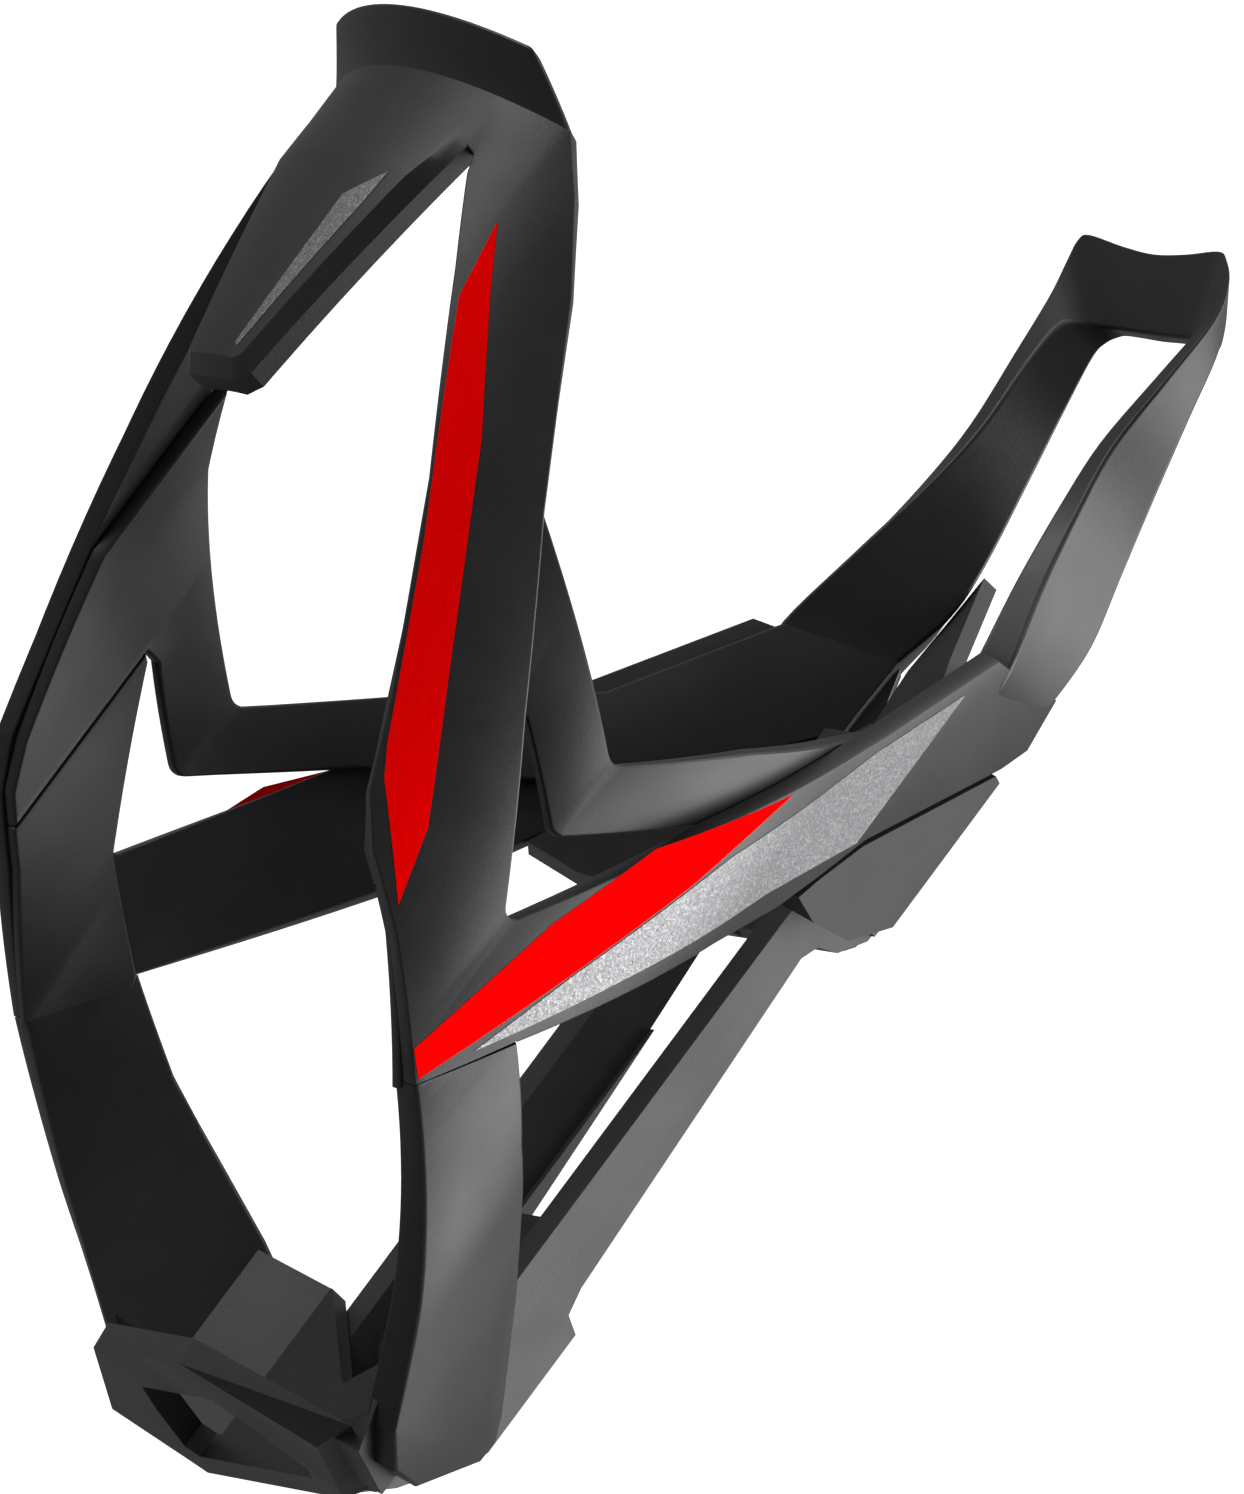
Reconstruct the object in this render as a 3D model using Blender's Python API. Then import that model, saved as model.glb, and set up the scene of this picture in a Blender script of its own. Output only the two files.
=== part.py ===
"""Water bottle cage for a bicycle frame, moulded in bonded carbon-composite laminates.

The cage stands upright: +Z runs up the bottle, -Y is the open front, +Y is the frame tube.
The origin lies on the mounting plane, halfway between the two bolt holes.
The side walls follow one plan curve: a circle round the bottle, then a straight tangent
back to the spine. Laminates are drawn flat as (run along that curve, height), given their
thickness, and bent round it.
"""
import math

import bmesh
import bpy
from mathutils import Vector

MM = 0.001

# Driving dimensions, in millimetres
BOLT_SPACING = 64.0
BOTTLE_RADIUS = 36.5        # inner face of the laminates that touch the bottle
MOUNT_REACH = 47.6          # bottle axis to mounting plane
STRAP_THICKNESS = 1.5
GAP = 0.3                   # bond line between neighbouring pieces
ARM_IN = BOTTLE_RADIUS + STRAP_THICKNESS + GAP
ARM_OUT = ARM_IN + 2.0
LEG_IN = BOTTLE_RADIUS + GAP
MID_RADIUS = (BOTTLE_RADIUS + ARM_OUT) / 2
TANGENT_ANGLE = math.radians(127.5)     # where the circle turns into the straight run
TANGENT_RUN = MID_RADIUS * TANGENT_ANGLE
ARC_STEP = MID_RADIUS * math.radians(7.5)
RAISE = 2.0                 # bottle-axis heights are given from 2 mm above the origin

CREASE_HEIGHT = 54.0        # top of the front tab, foot of the flared lip
LIP_HEIGHT = 58.6
LIP_FLARE = 3.9
LIP_THICKNESS = 2.4
TONGUE_TIP = 19.4
TONGUE_BEND = 50.0          # below this height the tongue leans in
TONGUE_LEAN = 3.5           # how far the tip sits in from the top
TONGUE_RAISE = 1.2          # pad that stands proud of the tab
TONGUE_BEVEL = 1.7

SHELF_TOP = -51.8
SHELF_THICKNESS = 2.8
SPINE_FRONT = 38.4
SPINE_HALF_WIDTH = 12.9
SPINE_TAPER = 0.21          # half width lost per millimetre towards the frame
CHANNEL_FLOOR = 6.4         # half width of the channel at its web
WEB_FRONT = 43.2            # front face of the web that the bolts clamp
LOWER_BOLT = -34.0
UPPER_BOLT = LOWER_BOLT + BOLT_SPACING
BOLT_HOLE_RADIUS = 2.7
SHANK_RADIUS = 2.4
SHANK_LENGTH = 10.0
HEAD_RADIUS = 4.75
HEAD_HEIGHT = 2.75
SOCKET_RADIUS = 1.75
SOCKET_DEPTH = 1.6
WASHER_RADIUS = 5.2
WASHER_THICKNESS = 1.0
BUMPER_RADIUS = 2.3
BUMPER_SPREAD = 8.0
BUMPER_HEIGHT = 21.2
FILM_THICKNESS = 0.25


def reset():
    """Empty the scene and make the two collections."""
    for obj in list(bpy.data.objects):
        bpy.data.objects.remove(obj, do_unlink=True)
    scene_root = bpy.context.scene.collection
    parts = bpy.data.collections.new("bottle_cage")
    cutters = bpy.data.collections.new("cutters")
    scene_root.children.link(parts)
    scene_root.children.link(cutters)
    return parts, cutters


PARTS, CUTTERS = reset()


def material(name, colour, roughness, metallic=0.0):
    """Principled material in one plain colour."""
    mat = bpy.data.materials.new(name)
    mat.use_nodes = True
    shader = mat.node_tree.nodes["Principled BSDF"]
    shader.inputs["Base Color"].default_value = (*colour, 1.0)
    shader.inputs["Roughness"].default_value = roughness
    shader.inputs["Metallic"].default_value = metallic
    return mat


SATIN_COMPOSITE = material("satin_composite", (0.045, 0.046, 0.048), 0.42)
RED_FILM = material("red_film", (0.80, 0.0, 0.0), 0.4)
SILVER_FILM = material("silver_film", (0.45, 0.45, 0.46), 0.35, 0.7)
BLACK_STEEL = material("black_steel", (0.02, 0.02, 0.02), 0.35, 1.0)
ZINC_STEEL = material("zinc_steel", (0.55, 0.55, 0.56), 0.3, 1.0)
BLACK_RUBBER = material("black_rubber", (0.012, 0.012, 0.012), 0.8)


def wall_point(run, radius):
    """Plan position, from the bottle axis, of a run along the wall at a given radius."""
    side = -1.0 if run < 0 else 1.0
    run = abs(run)
    angle = min(run / MID_RADIUS, TANGENT_ANGLE)
    x = radius * math.sin(angle)
    y = -radius * math.cos(angle)
    straight = max(run - TANGENT_RUN, 0.0)
    x += straight * math.cos(TANGENT_ANGLE)
    y += straight * math.sin(TANGENT_ANGLE)
    return side * x, y


def place(x, y, z):
    """Bottle-axis millimetres to the part's frame in metres."""
    return Vector((x * MM, (y - MOUNT_REACH) * MM, (z + RAISE) * MM))


def add_object(name, bm, mat, collection=None):
    """Make a mesh object from a bmesh with outward faces."""
    bmesh.ops.remove_doubles(bm, verts=bm.verts, dist=1e-7)
    bmesh.ops.recalc_face_normals(bm, faces=bm.faces)
    mesh = bpy.data.meshes.new(name)
    bm.to_mesh(mesh)
    bm.free()
    obj = bpy.data.objects.new(name, mesh)
    (collection or PARTS).objects.link(obj)
    if mat:
        mesh.materials.append(mat)
        mesh.shade_smooth()
        mesh.set_sharp_from_angle(angle=math.radians(30))
    return obj


def flat_slab(outline, low, high, holes=()):
    """Closed slab in (run, height, radius) space from an outline of (run, height)."""
    bm = bmesh.new()
    loops = [outline, *holes]
    edges = []
    for loop in loops:
        verts = [bm.verts.new((u, v, low)) for u, v in loop]
        edges += [bm.edges.new((verts[i - 1], verts[i])) for i in range(len(verts))]
    if holes:
        bmesh.ops.triangle_fill(bm, use_beauty=True, use_dissolve=False, edges=edges)
    else:
        bm.faces.new(bm.verts)
    grown = bmesh.ops.extrude_face_region(bm, geom=bm.faces[:])
    for vert in (e for e in grown["geom"] if isinstance(e, bmesh.types.BMVert)):
        vert.co.z = high
    return bm


def slice_slab(bm, axis, positions):
    """Cut a slab across one axis so that it can bend."""
    for position in positions:
        point = Vector((0, 0, 0))
        point[axis] = position
        normal = Vector((0, 0, 0))
        normal[axis] = 1.0
        geom = bm.verts[:] + bm.edges[:] + bm.faces[:]
        bmesh.ops.bisect_plane(bm, geom=geom, plane_co=point, plane_no=normal, dist=1e-5)


def bend(bm, mirror=False, radius_at=None):
    """Wrap a slab round the bottle; radius_at can move a radius with height."""
    for vert in bm.verts:
        run, height, radius = vert.co
        if radius_at:
            radius = radius_at(height, radius)
        x, y = wall_point(run, radius)
        vert.co = place(-x if mirror else x, y, height)


def arc_cuts(first, last):
    """Runs at which the curved part of a laminate is sliced."""
    start = math.ceil(first / ARC_STEP)
    end = math.floor(min(last, TANGENT_RUN) / ARC_STEP)
    return [i * ARC_STEP for i in range(start, end + 1)] + [TANGENT_RUN]


def laminate(name, outline, low, high, mat=SATIN_COMPOSITE, side="right"):
    """A bonded laminate on the bottle's wall; the left one mirrors the right one."""
    bm = flat_slab(outline, low, high)
    runs = [u for u, _ in outline]
    slice_slab(bm, 0, arc_cuts(min(runs), max(runs)))
    bend(bm, mirror=side == "left")
    return add_object(name, bm, mat)


def prism(name, outline, low, high, axis, mat=None, collection=None, taper=None):
    """Closed prism of a flat outline, along X (outline in y, z) or Z (outline in x, y)."""
    bm = flat_slab(outline, low, high)
    for vert in bm.verts:
        u, v, w = vert.co
        x, y, z = (w, u, v) if axis == "x" else (u, v, w)
        if taper:
            x *= taper(y)
        vert.co = place(x, y, z)
    return add_object(name, bm, mat, collection)


def plate(name, outline, front, back):
    """Cutter with an (x, height) outline, along Y."""
    bm = flat_slab(outline, front, back)
    for vert in bm.verts:
        x, height, y = vert.co
        vert.co = place(x, y, height)
    return add_object(name, bm, None, CUTTERS)


def rod(radius, front, back, height, segments=32, x=0.0):
    """Cylinder along Y, as a bmesh in the part's frame."""
    bm = bmesh.new()
    bmesh.ops.create_cone(bm, cap_ends=True, segments=segments, radius1=radius * MM,
                          radius2=radius * MM, depth=(back - front) * MM)
    centre = place(x, (front + back) / 2, height)
    for vert in bm.verts:
        vert.co = centre + Vector((vert.co.x, vert.co.z, vert.co.y))
    return bm


def cut(obj, cutter, operation="DIFFERENCE"):
    """Exact Boolean of one object by another, kept as a modifier."""
    cutter.hide_render = True
    cutter.display_type = "WIRE"
    modifier = obj.modifiers.new(cutter.name, "BOOLEAN")
    modifier.operation = operation
    modifier.solver = "EXACT"
    modifier.object = cutter


def rounded_corner(before, corner, after, radius, steps=3):
    """Points of a small arc that replaces one corner of an outline."""
    corner = Vector(corner)
    to_before = (Vector(before) - corner).normalized()
    to_after = (Vector(after) - corner).normalized()
    half = to_before.angle(to_after) / 2
    reach = radius / math.tan(half)
    centre = corner + (to_before + to_after).normalized() * (radius / math.sin(half))
    start = corner + to_before * reach - centre
    end = corner + to_after * reach - centre
    points = []
    for i in range(steps + 1):
        direction = start.lerp(end, i / steps).normalized()
        points.append(tuple(centre + direction * radius))
    return points


def outline_of(points):
    """Outline from (run, height) points; a third value rounds that corner."""
    outline = []
    for i, point in enumerate(points):
        if len(point) == 3:
            before = points[i - 1][:2]
            after = points[(i + 1) % len(points)][:2]
            outline += rounded_corner(before, point[:2], after, point[2])
        else:
            outline.append(tuple(point))
    return outline


def arm_outline():
    """Side of the front tab, the arm below it and the branch that turns back and up."""
    rear_of_arm = [(23.9, 53.7), (27.9, 48.7), (33.3, 40.3), (42.9, 21.8), (52.4, 5.4)]
    branch_top = [(62.6, -10.9, 0.9), (75.4, 10.8), (89.3, 31.0), (98.6, 44.9)]
    branch_end = [(113.2, 48.1), (114.5, 43.7), (112.4, 40.2)]
    branch_bottom = [(98.5, 23.6), (95.0, 16.9), (92.2, 12.0), (86.0, 3.8), (71.5, -17.8)]
    front_edge = [(65.1, -28.0), (54.8, -18.6), (48.6, -13.9), (45.2, -9.6, 4.0),
                  (41.5, -0.6), (32.7, 18.2), (22.4, 37.1), (17.3, 45.8), (16.6, 47.8, 0.6)]
    tab_side = [(15.5, 48.4), (14.9, CREASE_HEIGHT - GAP / 2)]
    return outline_of(rear_of_arm + branch_top + branch_end + branch_bottom
                      + front_edge + tab_side)


def strap_outline():
    """Inner laminate: a band under the arm, then the V behind it up to the spine."""
    v_top = [(37.4, 28.4), (42.9, 22.2), (63.0, 7.9, 1.5), (75.5, 18.9), (91.8, 31.0),
             (101.6, 45.0)]
    rear_end = [(111.8, 47.6), (111.8, 40.4), (98.1, 23.9), (76.5, 11.0)]
    v_bottom = [(62.5, -1.0, 1.5), (53.2, 5.8), (51.2, 5.8), (51.2, -15.5)]
    under_arm = [(48.4, -13.5), (45.4, -9.2), (41.4, -0.6), (37.4, 8.2)]
    return outline_of(v_top + rear_end + v_bottom + under_arm)


def leg_outline():
    """Panel from the seam below the branch down to the foot."""
    rear_edge = [(65.4, -28.3), (71.8, -18.2), (80.3, -23.6), (90.0, -28.4), (97.0, -31.9)]
    heel = [(109.2, -39.2), (111.6, -41.3), (111.4, -43.8), (104.0, -50.9), (98.5, -52.2)]
    front_edge = [(93.6, -50.4, 2.0), (82.5, -41.6), (77.6, -37.9), (69.5, -31.5)]
    return outline_of(rear_edge + heel + front_edge)


def tongue_radius(height, radius):
    """The tongue leans towards the bottle below its bend."""
    down = max(TONGUE_BEND - height, 0.0) / (TONGUE_BEND - TONGUE_TIP)
    return radius - TONGUE_LEAN * down


def lip_radius(height, radius):
    """The lip turns outwards above the crease."""
    up = max(height - CREASE_HEIGHT, 0.0) / (LIP_HEIGHT - CREASE_HEIGHT)
    return radius + LIP_FLARE * up ** 1.2


def make_front():
    """Flared lip over the whole tab, and the raised tongue that closes and hangs from it."""
    half_lip = [(22.9, CREASE_HEIGHT + GAP / 2), (17.4, LIP_HEIGHT, 1.5)]
    lip = outline_of(half_lip + [(-u, v, *r) for u, v, *r in reversed(half_lip)])
    bm = flat_slab(lip, ARM_OUT - LIP_THICKNESS, ARM_OUT)
    slice_slab(bm, 0, arc_cuts(-24.0, 24.0)[:-1])
    slice_slab(bm, 1, [CREASE_HEIGHT + 1.2, CREASE_HEIGHT + 2.6])
    bend(bm, radius_at=lip_radius)
    add_object("front_lip", bm, SATIN_COMPOSITE)

    half_tongue = [(14.6, CREASE_HEIGHT - GAP / 2), (15.2, 48.0), (6.5, TONGUE_TIP + 1.2),
                   (4.7, TONGUE_TIP)]
    tongue = outline_of(half_tongue + [(-u, v) for u, v in reversed(half_tongue)])
    bm = flat_slab(tongue, ARM_IN, ARM_OUT)
    outer = max(bm.faces, key=lambda face: face.calc_center_median().z)
    bmesh.ops.inset_individual(bm, faces=[outer], thickness=TONGUE_BEVEL)
    for vert in outer.verts:
        vert.co.z += TONGUE_RAISE
    slice_slab(bm, 0, arc_cuts(-15.0, 15.0)[:-1])
    slice_slab(bm, 1, [TONGUE_BEND])
    bend(bm, radius_at=tongue_radius)
    add_object("front_tongue", bm, SATIN_COMPOSITE)


def make_sides():
    """Arm, strap and leg laminates on both sides."""
    for side in ("left", "right"):
        laminate(f"{side}_arm", arm_outline(), ARM_IN, ARM_OUT, side=side)
        laminate(f"{side}_strap", strap_outline(), BOTTLE_RADIUS, ARM_IN - GAP, side=side)
        laminate(f"{side}_leg", leg_outline(), LEG_IN, ARM_OUT, side=side)


def spine_taper(y):
    """The spine narrows towards the frame tube."""
    return 1.0 - SPINE_TAPER * (y - SPINE_FRONT) / SPINE_HALF_WIDTH


def make_cheek(side):
    """Side wall of the upper boss, on the same tangent as the branch above it."""
    outline = [(95.6, 17.2), (98.8, 23.1), (112.3, 39.4), (113.8, 39.4), (113.8, 22.0), (108.0, 17.0),
               (100.0, 14.6), (94.4, 14.4)]
    bm = flat_slab(outline, BOTTLE_RADIUS, ARM_OUT)
    bend(bm, mirror=side == "left")
    return add_object(f"{side}_cheek", bm, None, CUTTERS)


def mirrored(half):
    """Closed outline from its right half, given from one end on the centre line outwards."""
    return half + [(-u, v) for u, v in reversed(half) if u > 0]


def make_spine():
    """Channel-section spine with two rails, a window, two bolt bosses and a forked top."""
    profile = [(SPINE_FRONT, -53.0), (41.6, -50.0), (46.8, -42.6), (MOUNT_REACH, -41.2),
               (MOUNT_REACH, -27.0), (45.6, -26.2), (44.9, -23.5), (42.6, 14.4),
               (43.4, 16.4), (45.6, 17.4), (MOUNT_REACH, 20.4), (MOUNT_REACH, 39.8),
               (46.8, 42.6), (45.0, 42.6), (SPINE_FRONT, 27.0)]
    spine = prism("spine", profile, -SPINE_HALF_WIDTH, SPINE_HALF_WIDTH, "x",
                  SATIN_COMPOSITE, taper=spine_taper)
    shoulder = [(-13.0, 42.2), (13.0, 42.2), (11.6, MOUNT_REACH), (-11.6, MOUNT_REACH)]
    cut(spine, prism("shoulder", shoulder, 21.0, 39.6, "z", collection=CUTTERS), "UNION")
    for side in ("left", "right"):
        cut(spine, make_cheek(side), "UNION")
    fork = mirrored([(0.0, 41.6), (5.7, 50.6), (10.5, 60.4), (11.0, 55.4), (11.8, 49.0),
                     (11.0, 43.4), (10.0, 39.0), (0.0, 39.0)])
    cut(spine, plate("fork", fork, 45.0, 46.8), "UNION")
    half_window = [(0.0, 17.0), (5.6, 17.0), (5.6, -17.6), (0.0, -17.6)]
    cut(spine, plate("window", mirrored(half_window), 30.0, 60.0))
    channel = [(-12.7, 30.0), (12.7, 30.0), (CHANNEL_FLOOR, WEB_FRONT),
               (-CHANNEL_FLOOR, WEB_FRONT)]
    cut(spine, prism("channel", channel, -44.0, 50.0, "z", collection=CUTTERS))
    for name, height in (("lower_bore", LOWER_BOLT), ("upper_bore", UPPER_BOLT)):
        bore = add_object(name, rod(BOLT_HOLE_RADIUS, 30.0, 60.0, height), None, CUTTERS)
        cut(spine, bore)
    for side in (-1, 1):
        seat = rod(BUMPER_RADIUS + GAP, 45.2, 60.0, BUMPER_HEIGHT, 16, side * BUMPER_SPREAD)
        cut(spine, add_object("bumper_seat", seat, None, CUTTERS))


def make_foot():
    """Shelf that the bottle stands on, with its window, and the cradle wall behind it."""
    top = [(0.0, 17.3), (8.7, 17.3), (24.1, 28.2), (17.5, 36.9), (16.4, 38.1), (0.0, 38.1)]
    under = [(0.0, 17.5), (8.5, 17.5), (20.4, 28.5), (14.6, 35.8), (13.6, 37.2), (0.0, 37.2)]
    foot = prism("foot", mirrored(top), SHELF_TOP - SHELF_THICKNESS, SHELF_TOP, "z",
                 SATIN_COMPOSITE)
    below = [place(x, y, SHELF_TOP - SHELF_THICKNESS) for x, y in mirrored(under)]
    above = [place(x, y, SHELF_TOP) for x, y in mirrored(top)]
    for vert in foot.data.vertices:
        if vert.co.z < above[0].z - MM:
            nearest = min(range(len(above)), key=lambda i: (above[i].xy - vert.co.xy).length)
            vert.co = below[nearest]
    wall = [(0.0, 36.4), (14.0, 36.2), (21.7, 31.4), (16.5, 38.1), (0.0, 38.1)]
    bm_wall = prism("cradle_wall", mirrored(wall), SHELF_TOP - 1.0, -33.2, "z",
                    collection=CUTTERS)
    cut(foot, bm_wall, "UNION")
    recess = [(-14.0, -33.0), (0.0, -43.0), (14.0, -33.0), (14.0, -30.0), (-14.0, -30.0)]
    cut(foot, plate("recess", recess, 20.0, 50.0))
    half_hole = [(0.0, 23.2), (6.9, 23.2), (9.3, 26.9), (12.2, 33.0), (11.2, 34.4),
                 (0.0, 34.4)]
    cut(foot, prism("foot_window", mirrored(half_hole), -60.0, -48.0, "z",
                    collection=CUTTERS))


def handle_edges():
    """The band's four long edges, from the foot over to the middle of the bridge."""
    front_outer = [(22.2, 36.9, 46.1), (18.6, 36.4, 55.0), (15.5, 36.0, 64.2),
                   (14.1, 35.8, 71.3), (15.3, 35.6, 80.0), (16.3, 35.4, 86.8),
                   (15.8, 34.4, 90.4), (14.5, 33.4, 92.2), (12.6, 33.1, 92.8),
                   (6.0, 33.6, 92.3), (0.0, 33.8, 92.0)]
    rear_outer = [(14.8, 46.7, 49.1), (14.5, 46.3, 55.4), (14.1, 44.8, 62.6),
                  (13.7, 42.8, 70.8), (13.4, 41.0, 78.4), (13.5, 39.4, 84.6),
                  (13.2, 38.0, 88.0), (12.4, 36.6, 90.2), (11.2, 35.6, 91.7),
                  (5.6, 35.6, 91.6), (0.0, 35.8, 91.4)]
    rear_inner = [(12.2, 44.4, 49.1), (11.6, 45.0, 55.4), (11.2, 44.4, 62.6),
                  (10.8, 42.7, 70.8), (10.3, 41.3, 78.4), (9.8, 40.2, 83.4),
                  (9.2, 40.2, 85.1), (8.2, 40.4, 86.0), (7.0, 40.5, 86.4),
                  (4.0, 40.5, 86.4), (0.0, 40.5, 86.3)]
    front_inner = [(19.6, 34.7, 46.1), (15.9, 35.0, 55.0), (12.7, 35.5, 64.2),
                   (11.3, 35.7, 71.3), (12.2, 35.9, 79.2), (12.4, 36.3, 84.0),
                   (11.0, 37.2, 85.1), (9.4, 37.9, 85.6), (7.6, 38.4, 85.8),
                   (4.2, 38.5, 85.8), (0.0, 38.5, 85.8)]
    return front_outer, rear_outer, rear_inner, front_inner


def make_handle():
    """Handle loop: one band that rises from both walls, turning to close over the top."""
    half = list(zip(*handle_edges()))
    other = [tuple((-x, y, z) for x, y, z in ring) for ring in reversed(half[:-1])]
    bm = bmesh.new()
    rings = [[bm.verts.new(place(*point)) for point in ring] for ring in half + other]
    for near, far in zip(rings, rings[1:]):
        for i in range(4):
            bm.faces.new((near[i - 1], near[i], far[i], far[i - 1]))
    bm.faces.new(rings[0])
    bm.faces.new(rings[-1])
    add_object("handle_loop", bm, SATIN_COMPOSITE)


def make_bolt(name, height):
    """Button-head M5 bolt with a hexagon socket, through its washer and the web."""
    seat = WEB_FRONT - GAP - WASHER_THICKNESS - GAP
    head = add_object(name, rod(HEAD_RADIUS, seat - HEAD_HEIGHT, seat, height), BLACK_STEEL)
    shank = rod(SHANK_RADIUS, seat - 0.5, seat + SHANK_LENGTH, height)
    cut(head, add_object(f"{name}_shank", shank, None, CUTTERS), "UNION")
    hexagon = rod(SOCKET_RADIUS, seat - HEAD_HEIGHT - 1.0, seat - HEAD_HEIGHT + SOCKET_DEPTH,
                  height, segments=6)
    cut(head, add_object(f"{name}_socket", hexagon, None, CUTTERS))


def make_washer(name, height):
    """Flat washer between the bolt head and the web."""
    back = WEB_FRONT - GAP
    washer = add_object(name, rod(WASHER_RADIUS, back - WASHER_THICKNESS, back, height),
                        ZINC_STEEL)
    bore = rod(BOLT_HOLE_RADIUS, back - 5.0, back + 5.0, height)
    cut(washer, add_object(f"{name}_bore", bore, None, CUTTERS))


def make_bumpers():
    """Eight-sided rubber pads set flush into the upper boss, at its two lower corners."""
    for side, x in (("left", -BUMPER_SPREAD), ("right", BUMPER_SPREAD)):
        pad = rod(BUMPER_RADIUS, 45.2 + GAP, MOUNT_REACH, BUMPER_HEIGHT, segments=8, x=x)
        add_object(f"{side}_bumper", pad, BLACK_RUBBER)


def make_films():
    """Printed film flashes, each a thin solid just proud of the laminate under it."""
    low = ARM_OUT + GAP
    high = low + FILM_THICKNESS
    arm_flash = [(23.2, 42.9), (26.6, 37.0), (34.5, 24.0), (44.6, 4.0), (51.4, -9.0),
                 (53.4, -16.4), (45.6, -7.8), (44.0, -5.0), (36.0, 12.5), (24.6, 34.8)]
    branch_flash = [(62.8, -25.6), (65.0, -27.4), (70.3, -13.4), (77.4, 5.4), (81.4, 19.0),
                    (70.9, 4.8), (66.6, -7.6)]
    branch_sweep = [(68.0, -21.6), (76.8, -7.0), (88.6, 11.6), (97.4, 24.0), (98.9, 30.8),
                    (95.7, 38.3), (89.2, 28.6), (79.6, 10.4), (72.0, -9.4)]
    for side in ("left", "right"):
        laminate(f"{side}_arm_flash", arm_flash, low, high, RED_FILM, side)
        laminate(f"{side}_branch_flash", branch_flash, low, high, RED_FILM, side)
        laminate(f"{side}_branch_sweep", branch_sweep, low, high, SILVER_FILM, side)
    tongue_flash = [(3.2, 22.6), (3.8, 22.3), (8.8, 38.6), (9.8, 42.8), (5.8, 39.4)]
    bm = flat_slab(tongue_flash, low + TONGUE_RAISE, high + TONGUE_RAISE)
    slice_slab(bm, 0, [ARC_STEP])
    bend(bm, radius_at=tongue_radius)
    add_object("tongue_flash", bm, SILVER_FILM)


make_front()
make_sides()
make_spine()
make_foot()
make_handle()
for place_name, bolt_height in (("lower", LOWER_BOLT), ("upper", UPPER_BOLT)):
    make_bolt(f"{place_name}_bolt", bolt_height)
    make_washer(f"{place_name}_washer", bolt_height)
make_bumpers()
make_films()
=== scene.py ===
import math

import bmesh
import bpy
from mathutils import Matrix, Vector


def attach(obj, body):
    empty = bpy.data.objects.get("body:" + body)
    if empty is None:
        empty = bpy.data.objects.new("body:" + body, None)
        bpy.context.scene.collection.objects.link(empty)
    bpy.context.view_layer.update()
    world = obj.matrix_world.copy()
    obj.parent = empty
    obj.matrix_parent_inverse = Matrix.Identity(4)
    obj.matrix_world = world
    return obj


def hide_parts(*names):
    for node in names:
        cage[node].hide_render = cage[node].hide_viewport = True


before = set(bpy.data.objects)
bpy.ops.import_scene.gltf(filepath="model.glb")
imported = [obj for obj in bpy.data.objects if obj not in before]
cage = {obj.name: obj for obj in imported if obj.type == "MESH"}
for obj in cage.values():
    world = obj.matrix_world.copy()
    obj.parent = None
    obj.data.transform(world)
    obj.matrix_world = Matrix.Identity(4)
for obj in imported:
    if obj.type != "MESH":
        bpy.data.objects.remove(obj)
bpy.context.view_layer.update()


# ---------------------------------------------------------------------------
# Spine. A channel section moulded from chopped carbon fibre in nylon, with two rails,
# a window and two bolt bosses. It leaves the tool with a fine spark-eroded grain.
# ---------------------------------------------------------------------------

MM = 0.001


def linear(hex_colour):
    """sRGB hex to a linear RGBA colour."""
    channels = [int(hex_colour[i:i + 2], 16) / 255 for i in (1, 3, 5)]
    return (*[c / 12.92 if c <= 0.04045 else ((c + 0.055) / 1.055) ** 2.4 for c in channels], 1.0)


def add(tree, kind, inputs=None, stops=(), **settings):
    """Add a node. An input is a value or a socket to link from; a stop is (position, hex)."""
    node = tree.nodes.new(kind)
    for key, value in settings.items():
        setattr(node, key, value)
    for key, value in (inputs or {}).items():
        if isinstance(value, bpy.types.NodeSocket):
            tree.links.new(value, node.inputs[key])
        else:
            node.inputs[key].default_value = value
    if stops:
        marks = node.color_ramp.elements
        while len(marks) < len(stops):
            marks.new(0.5)
        for mark, (position, hex_colour) in zip(marks, stops):
            mark.position = position
            mark.color = linear(hex_colour)
    return node


def new_material(name, **shader_values):
    """A material with its Principled shader and object coordinates."""
    mat = bpy.data.materials.new(name)
    mat.use_nodes = True
    tree = mat.node_tree
    shader = tree.nodes["Principled BSDF"]
    for key, value in shader_values.items():
        shader.inputs[key.replace("_", " ")].default_value = value
    place = add(tree, "ShaderNodeTexCoord").outputs["Object"]
    return mat, tree, shader, place


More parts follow.
